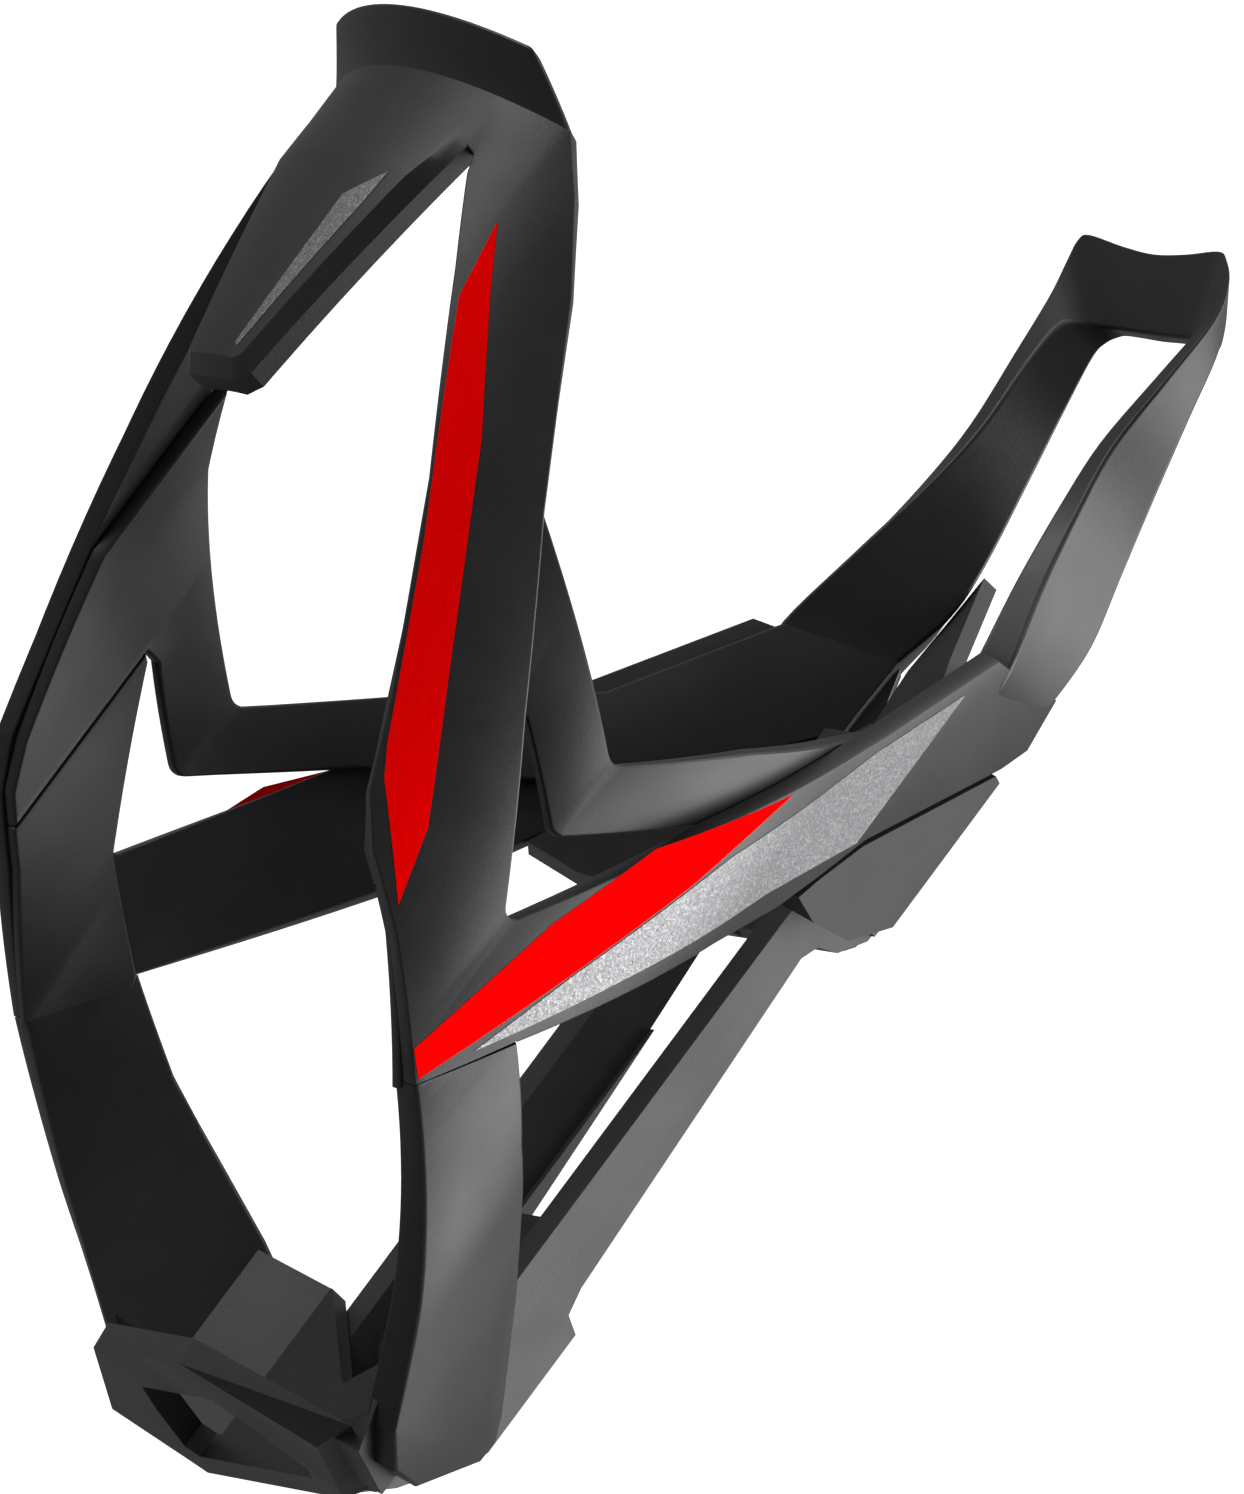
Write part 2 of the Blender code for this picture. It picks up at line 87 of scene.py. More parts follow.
def satin_moulded_composite():
    """Carbon-filled nylon, moulded in a grained tool: near black, satin, a little cloudy
    where fibres lie close under the skin, and its sharp edges painted paler as a highlight."""
    mat, tree, shader, place = new_material("satin_moulded_composite", IOR=1.52,
                                            Specular_IOR_Level=0.3)
    grain_size = 0.35 * MM          # drawn coarser than the real grain, so that it shows
    cloud_size = 9.0 * MM           # of the areas where fibres lie close
    fibre_size = 1.6 * MM           # of one bundle of fibres
    clouds = add(tree, "ShaderNodeTexNoise", {"Vector": place, "Scale": 1 / cloud_size,
                                              "Detail": 4.0, "Roughness": 0.55})
    tone = add(tree, "ShaderNodeValToRGB", {"Fac": clouds.outputs["Fac"]},
               stops=((0.25, "#1b1b1c"), (0.75, "#212122")))
    fibres = add(tree, "ShaderNodeTexNoise", {"Vector": place, "Scale": 1 / fibre_size,
                                              "Detail": 2.0, "Distortion": 1.5})
    flecks = add(tree, "ShaderNodeMapRange", {"Value": fibres.outputs["Fac"], "From Min": 0.62,
                                              "From Max": 0.8, "To Max": 0.25})
    flecked = add(tree, "ShaderNodeMix", {"Factor": flecks.outputs["Result"],
                                          "A": tone.outputs["Color"], "B": linear("#2a2a2b")},
                  data_type="RGBA")
    # Painted highlight: convex, pointy edges are mixed towards a paler grey.
    edges = add(tree, "ShaderNodeMapRange", {
        "Value": add(tree, "ShaderNodeNewGeometry").outputs["Pointiness"],
        "From Min": 0.53, "From Max": 0.62, "To Max": 0.35})
    painted_edge_highlight = add(tree, "ShaderNodeMix", {"Factor": edges.outputs["Result"],
                                       "A": flecked.outputs["Result"],
                                       "B": linear("#3c3c3d")}, data_type="RGBA")
    tree.links.new(painted_edge_highlight.outputs["Result"], shader.inputs["Base Color"])
    gloss = add(tree, "ShaderNodeMapRange", {"Value": clouds.outputs["Fac"], "From Min": 0.3,
                                             "From Max": 0.7, "To Min": 0.40, "To Max": 0.48})
    tree.links.new(gloss.outputs["Result"], shader.inputs["Roughness"])
    grain = add(tree, "ShaderNodeTexNoise", {"Vector": place, "Scale": 1 / grain_size,
                                             "Detail": 2.0, "Roughness": 0.6})
    relief = add(tree, "ShaderNodeBump", {"Height": grain.outputs["Fac"], "Strength": 0.35,
                                          "Distance": 0.03 * MM})
    tree.links.new(relief.outputs["Normal"], shader.inputs["Normal"])
    return mat


composite = satin_moulded_composite()


def dress(piece, mat, corner=0.0, angle=30, segments=3):
    """Give a piece its material, rounded corners and clean smooth shading."""
    piece.data.materials.clear()
    piece.data.materials.append(mat)
    piece.data.shade_smooth()
    piece.data.set_sharp_from_angle(angle=math.radians(angle))
    if corner:
        rounding = piece.modifiers.new("rounding", "BEVEL")
        rounding.width = corner * MM
        rounding.segments = segments
        rounding.limit_method = "ANGLE"
        rounding.angle_limit = math.radians(angle)
        rounding.harden_normals = True
    return piece


dress(cage["spine"], composite, corner=0.45)


# ---------------------------------------------------------------------------
# Foot. The shelf that the bottle stands on and the cradle wall behind it, moulded in one
# with the same grained skin, with generous radii where fingers and bottles rub.
# ---------------------------------------------------------------------------

dress(cage["foot"], composite, corner=0.7, segments=4)


# ---------------------------------------------------------------------------
# Straps. The inner laminate, 1.6 mm thick, that lines each arm and shows behind it as a V.
# Cut flat, then bent round the bottle's circle and straight back to the spine.
# ---------------------------------------------------------------------------

BOTTLE_AXIS = 47.6          # in front of the mounting plane
RAISE = 2.0                 # from the heights used here to the frame's own
BEND_RADIUS = 38.4          # of the line that runs are measured along
BEND_END = math.radians(127.5)
BEND_RUN = BEND_RADIUS * BEND_END
STRAP_FACES = (36.5, 38.1)  # radii of its inner and outer face
STRAP_RIM = 0.35


def at(x, y, z):
    """Millimetres from the bottle's axis to the frame's metres."""
    return Vector((x * MM, (y - BOTTLE_AXIS) * MM, (z + RAISE) * MM))


def along_wall(run, radius):
    """Plan position of a run along the cage's wall, at a radius from the bottle's axis."""
    angle = min(abs(run) / BEND_RADIUS, BEND_END)
    straight = max(abs(run) - BEND_RUN, 0.0)
    x = radius * math.sin(angle) + straight * math.cos(BEND_END)
    y = -radius * math.cos(angle) + straight * math.sin(BEND_END)
    return math.copysign(x, run), y


def rounded(points, steps=5):
    """Outline whose points with a third value are corners of that radius."""
    outline = []
    for i, point in enumerate(points):
        if len(point) == 2:
            outline.append(Vector(point))
            continue
        corner = Vector(point[:2])
        before = (Vector(points[i - 1][:2]) - corner).normalized()
        after = (Vector(points[(i + 1) % len(points)][:2]) - corner).normalized()
        half = before.angle(after) / 2
        centre = corner + (before + after).normalized() * (point[2] / math.sin(half))
        start = corner + before * (point[2] / math.tan(half)) - centre
        end = corner + after * (point[2] / math.tan(half)) - centre
        for k in range(steps + 1):
            outline.append(centre + start.slerp(end, k / steps).normalized() * point[2])
    return outline


def flat_blank(outline, faces, edge_radius, seam=lambda u, v: False):
    """Flat blank in (run, height, radius), its free edges rounded and its seams left square."""
    bm = bmesh.new()
    bm.faces.new([bm.verts.new((u, v, faces[0])) for u, v in outline])
    grown = bmesh.ops.extrude_face_region(bm, geom=bm.faces[:])
    for vert in (item for item in grown["geom"] if isinstance(item, bmesh.types.BMVert)):
        vert.co.z = faces[1]
    bmesh.ops.recalc_face_normals(bm, faces=bm.faces)
    rims = []
    for edge in bm.edges:
        a, b = (vert.co for vert in edge.verts)
        if abs(a.z - b.z) < 1e-6 and not (seam(a.x, a.y) and seam(b.x, b.y)):
            rims.append(edge)
    if edge_radius:
        bmesh.ops.bevel(bm, geom=rims, offset=edge_radius, segments=3, profile=0.5,
                        affect="EDGES", clamp_overlap=True)
    return bm


def finished(bm, name):
    """Make an object of a mesh, with its faces all turned outwards."""
    bmesh.ops.recalc_face_normals(bm, faces=bm.faces)
    mesh = bpy.data.meshes.new(name)
    bm.to_mesh(mesh)
    bm.free()
    piece = bpy.data.objects.new(name, mesh)
    bpy.context.scene.collection.objects.link(piece)
    return piece


def bend_blank(bm, name, mirror=False, spacing=1.4, heights=(), radius_at=None):
    """Slice a blank finely, wrap it round the wall and make it an object."""
    runs = [vert.co.x for vert in bm.verts]
    cuts = [(Vector((BEND_RUN, 0, 0)), Vector((1, 0, 0)))]
    first = math.ceil(min(runs) / spacing)
    last = math.floor(min(max(runs), BEND_RUN) / spacing)
    cuts += [(Vector((i * spacing, 0, 0)), Vector((1, 0, 0))) for i in range(first, last + 1)]
    cuts += [(Vector((0, height, 0)), Vector((0, 1, 0))) for height in heights]
    for point, normal in cuts:
        bmesh.ops.bisect_plane(bm, geom=bm.verts[:] + bm.edges[:] + bm.faces[:],
                               plane_co=point, plane_no=normal, dist=1e-5)
    for vert in bm.verts:
        run, height, radius = vert.co
        if radius_at:
            radius = radius_at(run, height, radius)
        x, y = along_wall(run, radius)
        vert.co = at(-x if mirror else x, y, height)
    return finished(bm, name)


def fit(piece, slot, *nodes):
    """Fix a finished piece to the cage in place of its plain solids."""
    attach(piece, "root")
    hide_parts(*nodes)
    return piece


def handle_seam(run, height):
    """True on the joint with the handle's foot, which is rubbed flush."""
    return run > 101.4 and height > 45.9


strap_outline = rounded([
    (37.4, 28.4), (42.9, 22.2), (63.0, 7.9, 1.5), (75.5, 18.9), (91.8, 31.0), (101.5, 46.0),
    (112.9, 49.0), (112.6, 40.4), (98.1, 23.9), (76.5, 11.0), (62.5, -1.0, 1.5), (53.2, 5.8),
    (51.2, 5.8), (51.2, -15.5), (48.4, -13.5), (45.4, -9.2), (41.4, -0.6), (37.4, 8.2)])

# The same laminate, lapped down over the leg.
LINING_FACES = (36.72, 38.15)
LINING_RIM = 0.3
lining_outline = [(51.45, 5.6), (52.3, 5.2), (62.2, -10.6), (71.6, -18.2), (71.9, -19.2),
                  (65.4, -28.7), (54.9, -18.3), (51.45, -15.7)]
for side in ("left", "right"):
    strap = bend_blank(flat_blank(strap_outline, STRAP_FACES, STRAP_RIM, handle_seam),
                       f"{side}_inner_strap", mirror=side == "left")
    fit(dress(strap, composite), "satin_composite", f"{side}_strap")
    lining = bend_blank(flat_blank(lining_outline, LINING_FACES, LINING_RIM),
                        f"{side}_arm_lining", mirror=side == "left")
    fit(dress(lining, composite), "satin_composite", f"{side}_strap")


# ---------------------------------------------------------------------------
# Legs. A 3.5 mm panel on each side, from the seam under the branch down to the foot.
# Moulded with the foot; its square edges under the branch close against the arm.
# ---------------------------------------------------------------------------

LEG_FACES = (36.8, 40.3)
LEG_RIM = 0.45
leg_outline = rounded([
    (65.15, -28.08), (71.56, -17.86), (80.3, -23.6), (90.0, -28.4), (97.0, -31.9), (109.2, -39.2),
    (111.6, -41.3), (111.4, -43.8), (104.0, -50.9), (98.5, -52.2), (93.6, -50.4, 2.0),
    (82.5, -41.6), (77.6, -37.9), (69.5, -31.5)])


def leg_seam(run, height):
    """True on the joint with the branch above."""
    return run < 71.6 and -28.2 < height < -17.8


for side in ("left", "right"):
    leg = bend_blank(flat_blank(leg_outline, LEG_FACES, LEG_RIM, leg_seam),
                     f"{side}_side_leg", mirror=side == "left")
    fit(dress(leg, composite), "satin_composite", f"{side}_leg")


# ---------------------------------------------------------------------------
# Foot fillets. The shelf turns up into each leg through a wide moulded fillet, whose front
# end follows the slope of the leg's edge. Part of the same moulding as the foot.
# ---------------------------------------------------------------------------

FILLET_RADIUS = 5.0
FILLET_BASE = -52.0
FILLET_RUNS = (94.7, 103.8)
EDGE_START = 1.8            # height at which the leg's front edge starts to slope
EDGE_SLOPE = 1.2            # run for height
LAP = 1.0                   # how far it reaches past its radius and into the leg
SUNK = 1.2                  # how far it reaches down into the shelf
profile = [(-LAP, -SUNK), (-LAP, FILLET_RADIUS + LAP), (0.0, FILLET_RADIUS + LAP)]
for i in range(11):
    angle = math.radians(9 * i)
    profile.append((FILLET_RADIUS * (1 - math.cos(angle)), FILLET_RADIUS * (1 - math.sin(angle))))
profile += [(FILLET_RADIUS + LAP, 0.0), (FILLET_RADIUS + LAP, -SUNK)]
for side in ("left", "right"):
    bm = bmesh.new()
    ends = []
    for run in FILLET_RUNS:
        end = []
        for inward, up in profile:
            forward = EDGE_SLOPE * max(up - EDGE_START, 0.0) if run == FILLET_RUNS[0] else 0.0
            x, y = along_wall(run - forward, LEG_FACES[0] - inward)
            end.append(bm.verts.new(at(-x if side == "left" else x, y, FILLET_BASE + up)))
        ends.append(end)
        bm.faces.new(end)
    for i in range(len(profile)):
        bm.faces.new((ends[0][i - 1], ends[0][i], ends[1][i], ends[1][i - 1]))
    fillet = finished(bm, f"{side}_foot_fillet")
    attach(dress(fillet, composite), "root")


# ---------------------------------------------------------------------------
# Arms. The outer laminate on each side: half of the front tab's flank, the arm, and the
# branch that turns back and up to the spine. Its free edges are eased by half a millimetre.
# ---------------------------------------------------------------------------

ARM_FACES = (38.2, 40.3)
ARM_RIM = 0.5
CREASE = 54.0               # height of the joint between tab and lip
TAB_JOINT = (15.35, 48.3), (14.75, CREASE)


def arm_seam(run, height):
    """True on the joints with the lip, the tongue and the leg, which are rubbed flush."""
    on_crease = height > CREASE - 0.01
    on_side = height > TAB_JOINT[0][1] - 0.01 and abs(run) < TAB_JOINT[0][0] + 0.01
    on_leg = 65 < run < 71.6 and height < -17.7
    return on_crease or on_side or on_leg or handle_seam(run, height)


arm_outline = rounded([
    (23.7, CREASE), (27.9, 48.7), (33.3, 40.3), (42.9, 21.8), (52.4, 5.4), (62.6, -10.9, 0.9),
    (75.4, 10.8), (89.3, 31.0), (98.6, 45.3), (101.5, 46.0), (113.1, 49.0), (114.5, 43.7),
    (112.4, 40.2), (98.5, 23.6), (95.0, 16.9), (92.2, 12.0), (86.0, 3.8), (71.5, -17.8), (65.1, -28.0),
    (54.8, -18.6), (48.6, -13.9), (45.2, -9.6, 4.0), (41.5, -0.6), (32.7, 18.2), (22.4, 37.1),
    (17.3, 45.8), (16.6, 47.8, 0.6), TAB_JOINT[0], TAB_JOINT[1]])
for side in ("left", "right"):
    arm = bend_blank(flat_blank(arm_outline, ARM_FACES, ARM_RIM, arm_seam),
                     f"{side}_outer_arm", mirror=side == "left")
    fit(dress(arm, composite), "satin_composite", f"{side}_arm")


# ---------------------------------------------------------------------------
# Tongue. The middle of the front tab, which carries on below it as a springy finger.
# A raised pad with bevelled flanks is moulded on its face.
# ---------------------------------------------------------------------------

TONGUE_TIP = 19.4
TONGUE_BEND = 50.0
TONGUE_LEAN = 3.5
PAD_RAISE = 1.2
PAD_BEVEL = 1.7
PAD_FADE_START = 43.0       # height above which the pad starts to sink
PAD_FADE = 7.0


def tongue_radius(run, height, radius):
    """The finger leans in towards the bottle, and its pad sinks into the tab above."""
    down = max(TONGUE_BEND - height, 0.0) / (TONGUE_BEND - TONGUE_TIP)
    proud = max(radius - ARM_FACES[1], 0.0)
    sunk = min(max(height - PAD_FADE_START, 0.0) / PAD_FADE, 1.0) * min(proud, PAD_RAISE)
    return radius - TONGUE_LEAN * down - sunk


half_tongue = [TAB_JOINT[1], TAB_JOINT[0], (6.5, TONGUE_TIP + 1.2), (4.7, TONGUE_TIP)]
tongue_outline = half_tongue + [(-u, v) for u, v in reversed(half_tongue)]
blank = flat_blank(tongue_outline, ARM_FACES, 0)
pad = max(blank.faces, key=lambda face: face.calc_center_median().z)
bmesh.ops.inset_individual(blank, faces=[pad], thickness=PAD_BEVEL)
for vert in pad.verts:
    vert.co.z += PAD_RAISE
tongue = bend_blank(blank, "tongue_finger", heights=[PAD_FADE_START + i for i in range(9)],
                    radius_at=tongue_radius)
fit(dress(tongue, composite, angle=25), "satin_composite", "front_tongue")


# ---------------------------------------------------------------------------
# Lip. The rim above the tab, flared so that a bottle finds its way in.
# It meets the tab in a soft crease and has thick, rounded ends.
# ---------------------------------------------------------------------------

LIP_TOP = 58.6
LIP_FLARE = 3.9
LIP_CURL = 1.2              # above 1, the flare grows towards the top
LIP_FACES = (37.9, 40.3)
LIP_RIM = 0.6


def lip_radius(run, height, radius):
    """The lip turns outwards above the crease."""
    up = max(height - CREASE, 0.0) / (LIP_TOP - CREASE)
    return radius + LIP_FLARE * up ** LIP_CURL


half_lip = [(23.5, CREASE), (17.4, LIP_TOP, 1.5)]
lip_outline = rounded(half_lip + [(-u, v, *r) for u, v, *r in reversed(half_lip)])
lip = bend_blank(flat_blank(lip_outline, LIP_FACES, LIP_RIM, lambda u, v: v < CREASE + 0.01),
                 "flared_lip", heights=[CREASE + 0.5 * i for i in range(1, 9)],
                 radius_at=lip_radius)
fit(dress(lip, composite), "satin_composite", "front_lip")


# ---------------------------------------------------------------------------
# Handle loop. One band that rises from both walls, narrows, and turns over into the
# slanted bridge on top. Moulded in the same composite, with soft edges all round.
# ---------------------------------------------------------------------------

def foot_point(run, radius, height):
    """A point of the handle's foot, given where it lies on the cage's wall."""
    return (*along_wall(run, radius), height)


front_outer = [foot_point(102.3, 40.1, 42.6), foot_point(101.4, 40.3, 46.2),
               (18.6, 36.6, 55.0), (15.5, 36.2, 64.2), (14.1, 35.8, 71.3), (15.3, 35.6, 80.0),
               (16.3, 35.4, 86.8), (15.8, 34.4, 90.4), (14.5, 33.4, 92.2), (12.6, 33.1, 92.8),
               (6.0, 33.6, 92.3), (0.0, 33.8, 92.0)]
rear_outer = [foot_point(112.6, 40.1, 45.6), foot_point(113.0, 40.3, 49.2),
              (14.5, 46.5, 55.4), (14.1, 44.8, 62.6), (13.7, 42.8, 70.8), (13.4, 41.0, 78.4),
              (13.5, 39.4, 84.6), (13.2, 38.0, 88.0), (12.4, 36.6, 90.2), (11.2, 35.6, 91.7),
              (5.6, 35.6, 91.6), (0.0, 35.8, 91.4)]
rear_inner = [foot_point(112.4, 36.7, 45.6), foot_point(112.9, 36.5, 49.2),
              (10.3, 44.6, 55.4), (10.2, 44.4, 61.0), (10.6, 42.9, 70.8), (10.3, 41.3, 78.4),
              (9.8, 40.2, 83.4), (9.2, 40.2, 85.1), (8.2, 40.4, 86.0), (7.0, 40.5, 86.4),
              (4.0, 40.5, 86.4), (0.0, 40.5, 86.3)]
front_inner = [foot_point(102.3, 36.7, 42.6), foot_point(101.4, 36.5, 46.2),
               (15.9, 35.0, 55.0), (12.7, 35.5, 64.2), (11.3, 35.7, 71.3), (12.2, 35.9, 79.2),
               (12.4, 36.3, 84.0), (11.0, 37.2, 85.1), (9.4, 37.9, 85.6), (7.6, 38.4, 85.8),
               (4.2, 38.5, 85.8), (0.0, 38.5, 85.8)]


def smooth_line(points, steps=5):
    """Points along a smooth curve through the given ones, mirrored over the middle."""
    whole = [Vector(p) for p in points]
    whole += [Vector((-p.x, p.y, p.z)) for p in reversed(whole[:-1])]
    line = []
    for i in range(len(whole) - 1):
        a, b, c, d = (whole[min(max(k, 0), len(whole) - 1)] for k in range(i - 1, i + 3))
        for k in range(steps):
            t = k / steps
            line.append(0.5 * (2 * b + (c - a) * t + (2 * a - 5 * b + 4 * c - d) * t ** 2
                               + (3 * b - a - 3 * c + d) * t ** 3))
    return line + [whole[-1]]


edges = [smooth_line(edge) for edge in (front_outer, rear_outer, rear_inner, front_inner)]
bm = bmesh.new()
rings = [[bm.verts.new(at(*point)) for point in ring] for ring in zip(*edges)]
for near, far in zip(rings, rings[1:]):
    for i in range(4):
        bm.faces.new((near[i - 1], near[i], far[i], far[i - 1]))
bm.faces.new(rings[0])
bm.faces.new(rings[-1])
handle = finished(bm, "handle_band")
fit(dress(handle, composite, corner=0.7, angle=40, segments=4), "satin_composite",
    "handle_loop")


# ---------------------------------------------------------------------------
# Flashes. Screen-printed ink on transfer film, laid on the bent laminate: flat red on the
# arms and branches, and silver with coarse mica flake on the branches and the tongue.
# ---------------------------------------------------------------------------

def red_screen_ink():
    """Two passes of opaque red: strong, even and matt, with the faint mottle of a mesh."""
    mat, tree, shader, place = new_material("red_screen_ink", IOR=1.5,
                                            Specular_IOR_Level=0.0)
    mesh_spacing = 0.6 * MM         # of the printing screen, drawn coarse enough to show
    mottle = add(tree, "ShaderNodeTexNoise", {"Vector": place, "Scale": 1 / mesh_spacing,
                                              "Detail": 3.0})
    tone = add(tree, "ShaderNodeValToRGB", {"Fac": mottle.outputs["Fac"]},
               stops=((0.3, "#f00102"), (0.7, "#fa0203")))
    tree.links.new(tone.outputs["Color"], shader.inputs["Base Color"])
    gloss = add(tree, "ShaderNodeMapRange", {"Value": mottle.outputs["Fac"], "To Min": 0.5,
                                             "To Max": 0.6})
    tree.links.new(gloss.outputs["Result"], shader.inputs["Roughness"])
    relief = add(tree, "ShaderNodeBump", {"Height": mottle.outputs["Fac"], "Strength": 0.2,
                                          "Distance": 0.01 * MM})
    tree.links.new(relief.outputs["Normal"], shader.inputs["Normal"])
    return mat


def silver_flake_ink():
    """Aluminium and mica flake in clear binder: each flake catches the light by itself."""
    mat, tree, shader, place = new_material("silver_flake_ink", IOR=1.5, Metallic=0.35)
    flake_size = 0.18 * MM          # coarser than real flake, so that it shows
    flakes = add(tree, "ShaderNodeTexVoronoi", {"Vector": place, "Scale": 1 / flake_size})
    spread = add(tree, "ShaderNodeSeparateColor", {"Color": flakes.outputs["Color"]})
    tone = add(tree, "ShaderNodeValToRGB", {"Fac": spread.outputs["Red"]},
               stops=((0.0, "#5e5e60"), (0.45, "#6a6a6c"), (0.8, "#767678"), (1.0, "#8e8e90")))
    tree.links.new(tone.outputs["Color"], shader.inputs["Base Color"])
    gloss = add(tree, "ShaderNodeMapRange", {"Value": spread.outputs["Green"],
                                             "To Min": 0.3, "To Max": 0.55})
    tree.links.new(gloss.outputs["Result"], shader.inputs["Roughness"])
    relief = add(tree, "ShaderNodeBump", {"Height": spread.outputs["Blue"], "Strength": 0.25,
                                          "Distance": 0.02 * MM})
    tree.links.new(relief.outputs["Normal"], shader.inputs["Normal"])
    return mat


red_ink = red_screen_ink()
silver_ink = silver_flake_ink()
FILM_FACES = (40.28, 40.36)
arm_flash = [(23.2, 42.9), (26.6, 37.0), (34.5, 24.0), (44.6, 4.0), (51.4, -9.0),
             (53.4, -16.4), (45.6, -7.8), (44.0, -5.0), (36.0, 12.5), (24.6, 34.8)]
branch_flash = [(62.8, -25.6), (65.0, -27.4), (70.3, -13.4), (77.4, 5.4), (81.4, 19.0),
                (70.9, 4.8), (66.6, -7.6)]
branch_sweep = [(68.0, -21.6), (76.8, -7.0), (88.6, 11.6), (97.2, 22.6),
                (97.0, 40.4), (89.2, 28.6), (79.6, 10.4), (72.0, -9.4)]
side_flashes = (
    # name, outline, ink, slot
    ("arm_flash", arm_flash, red_ink, "red_film"),
    ("branch_flash", branch_flash, red_ink, "red_film"),
    ("branch_sweep", branch_sweep, silver_ink, "silver_film"),
)
for side in ("left", "right"):
    for flash, outline, ink, slot in side_flashes:
        film = bend_blank(flat_blank(outline, FILM_FACES, 0), f"{side}_{flash}_film",
                          mirror=side == "left")
        fit(dress(film, ink), slot, f"{side}_{flash}")

tongue_flash = [(3.2, 22.6), (3.8, 22.3), (8.8, 38.6), (9.8, 42.8), (5.8, 39.4)]
PAD_FILM_FACES = [face + PAD_RAISE for face in FILM_FACES]
film = bend_blank(flat_blank(tongue_flash, PAD_FILM_FACES, 0), "tongue_flash_film",
                  radius_at=tongue_radius)
fit(dress(film, silver_ink), "silver_film", "tongue_flash")


# ---------------------------------------------------------------------------
# Pads. Two small eight-sided rubber pads pushed into the back of the upper boss,
# moulded in black EPDM with a dry, slightly dusty skin.
# ---------------------------------------------------------------------------

def moulded_rubber():
    """Black EPDM: matt, greyed by dust in its pores."""
    mat, tree, shader, place = new_material("moulded_rubber", IOR=1.5, Specular_IOR_Level=0.3)
    pore_size = 0.3 * MM
    dust = add(tree, "ShaderNodeTexNoise", {"Vector": place, "Scale": 1 / pore_size,
                                            "Detail": 5.0})
    tone = add(tree, "ShaderNodeValToRGB", {"Fac": dust.outputs["Fac"]},
               stops=((0.35, "#131313"), (0.75, "#262524")))
    tree.links.new(tone.outputs["Color"], shader.inputs["Base Color"])
    shader.inputs["Roughness"].default_value = 0.8
    relief = add(tree, "ShaderNodeBump", {"Height": dust.outputs["Fac"], "Strength": 0.4,
                                          "Distance": 0.03 * MM})
    tree.links.new(relief.outputs["Normal"], shader.inputs["Normal"])
    return mat


rubber = moulded_rubber()
for side in ("left", "right"):
    dress(cage[f"{side}_bumper"], rubber, corner=0.25)


# ---------------------------------------------------------------------------
# Washers and bolts. Steel washers in bright zinc, under button-head M5 bolts of alloy
# steel, blacked in hot oxide.
# ---------------------------------------------------------------------------

def fastener_steel(name, light, dark, low, high):
    """Finished steel: faint marks from the tool, under patches in the plate or the oxide."""
    mat, tree, shader, place = new_material(name, Metallic=1.0)
    mark_spacing = math.pi / 2 * MM     # coarser than a real tool mark, so that it shows
    patch_size = 1 / 0.9 * MM
    marks = add(tree, "ShaderNodeTexWave", {"Vector": place,
                                            "Scale": math.tau / 20 / mark_spacing,
                                            "Distortion": 0.4, "Detail": 1.0},
                wave_type="RINGS", rings_direction="Y")
    patches = add(tree, "ShaderNodeTexNoise", {"Vector": place, "Scale": 1 / patch_size,
                                               "Detail": 4.0})
    tone = add(tree, "ShaderNodeValToRGB", {"Fac": patches.outputs["Fac"]},
               stops=((0.3, dark), (0.7, light)))
    tree.links.new(tone.outputs["Color"], shader.inputs["Base Color"])
    gloss = add(tree, "ShaderNodeMapRange", {"Value": patches.outputs["Fac"],
                                             "To Min": low, "To Max": high})
    tree.links.new(gloss.outputs["Result"], shader.inputs["Roughness"])
    relief = add(tree, "ShaderNodeBump", {"Height": marks.outputs["Fac"], "Strength": 0.15,
                                          "Distance": 0.01 * MM})
    tree.links.new(relief.outputs["Normal"], shader.inputs["Normal"])
    return mat


zinc = fastener_steel("bright_zinc_plate", "#c4c7cc", "#a3a6ac", 0.22, 0.42)
black_oxide = fastener_steel("black_oxide_steel", "#2e2d2c", "#171718", 0.3, 0.5)
for end in ("lower", "upper"):
    dress(cage[f"{end}_washer"], zinc, corner=0.12)
    dress(cage[f"{end}_bolt"], black_oxide, corner=0.25)


# ---------------------------------------------------------------------------
# Studio. A white seamless cove, a big soft box behind on the right, a strip in front, one
# overhead, and a long lens that looks up at the cage from its front right, tilted with it.
# ---------------------------------------------------------------------------

def cove_paint():
    """White cove paint, lit by itself so that it stays even."""
    mat, tree, shader, place = new_material("cove_paint", Roughness=0.9)
    roller = add(tree, "ShaderNodeTexNoise", {"Vector": place, "Scale": 4.0, "Detail": 2.0})
    tone = add(tree, "ShaderNodeValToRGB", {"Fac": roller.outputs["Fac"]},
               stops=((0.3, "#f4f4f4"), (0.7, "#f8f8f8")))
    tree.links.new(tone.outputs["Color"], shader.inputs["Base Color"])
    shader.inputs["Emission Color"].default_value = linear("#ffffff")
    shader.inputs["Emission Strength"].default_value = 0.97
    return mat


FLOOR = -1.5
COVE_RADIUS = 9.0
bpy.ops.mesh.primitive_uv_sphere_add(segments=64, ring_count=32, radius=COVE_RADIUS,
                                     location=(0, 0, FLOOR))
cove = bpy.context.object
cove.name = "cove"
# Its lower half is pressed flat, to be the floor.
for vert in cove.data.vertices:
    vert.co.z = max(vert.co.z, 0.0)
cove.data.materials.append(cove_paint())
cove.data.shade_smooth()
# The cove is only seen. The air below gives the cage its fill light.
cove.visible_diffuse = False
cove.visible_glossy = False
cove.visible_shadow = False

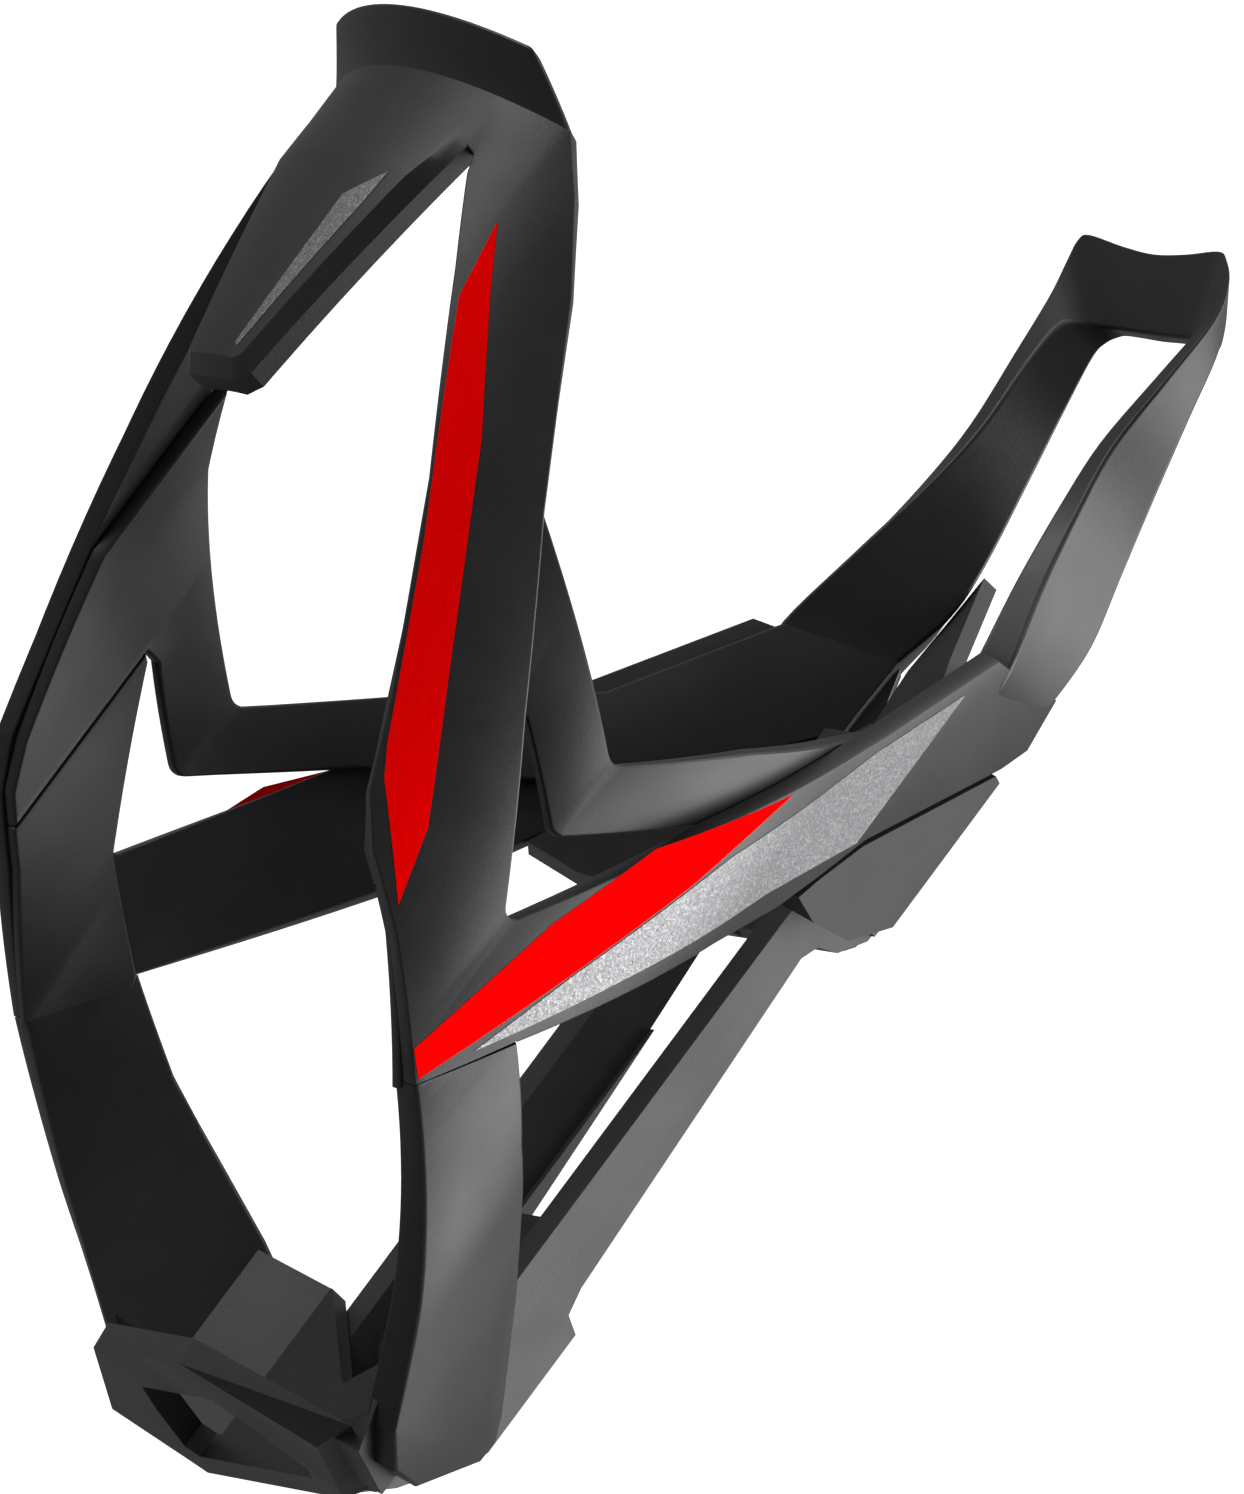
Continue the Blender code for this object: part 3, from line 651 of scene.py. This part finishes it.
scene = bpy.context.scene
scene.view_settings.view_transform = "Standard"
scene.world = bpy.data.worlds.new("studio_air")
scene.world.use_nodes = True
air = scene.world.node_tree
dim = air.nodes["Background"]
dim.inputs["Color"].default_value = linear("#ffffff")
dim.inputs["Strength"].default_value = 0.26
# The camera sees the air white; the cage is lit by it far less.
bright = add(air, "ShaderNodeBackground", {"Color": linear("#ffffff"), "Strength": 1.0})
seen = add(air, "ShaderNodeLightPath").outputs["Is Camera Ray"]
both = add(air, "ShaderNodeMixShader", {0: seen, 1: dim.outputs["Background"],
                                        2: bright.outputs["Background"]})
air.links.new(both.outputs["Shader"], air.nodes["World Output"].inputs["Surface"])

AIM = Vector((11.9, -33.0, 19.4)) * MM
soft_boxes = (
    # name, azimuth, elevation, distance, width, height, power
    ("rear_box", 150, 25, 0.9, 0.9, 0.9, 18.0),
    ("front_strip", -15, 25, 0.9, 0.3, 0.7, 5.0),
    ("overhead_box", 60, 80, 0.8, 0.5, 0.5, 3.0),
)
for name, azimuth, elevation, distance, width, height, power in soft_boxes:
    light = bpy.data.lights.new(name, "AREA")
    light.shape = "RECTANGLE"
    light.size = width
    light.size_y = height
    light.energy = power
    lamp = bpy.data.objects.new(name, light)
    turn = Matrix.Rotation(math.radians(azimuth), 4, "Z") @ Matrix.Rotation(
        math.radians(90 - elevation), 4, "X")
    lamp.matrix_world = Matrix.Translation(AIM) @ turn @ Matrix.Translation((0, 0, distance))
    scene.collection.objects.link(lamp)

LENS = 1000.0
SENSOR = 36.0
VIEW_HEIGHT = 0.1398
AZIMUTH, ELEVATION, TILT = 64.7, -14.5, 36.7
lens = bpy.data.cameras.new("long_lens")
lens.lens = LENS
lens.sensor_width = SENSOR
lens.clip_end = 50.0
camera = bpy.data.objects.new("camera", lens)
turn = (Matrix.Rotation(math.radians(AZIMUTH), 4, "Z")
        @ Matrix.Rotation(math.radians(90 - ELEVATION), 4, "X")
        @ Matrix.Rotation(math.radians(TILT), 4, "Z"))
reach = VIEW_HEIGHT * LENS / SENSOR
camera.matrix_world = Matrix.Translation(AIM) @ turn @ Matrix.Translation((0, 0, reach))
scene.collection.objects.link(camera)
scene.camera = camera
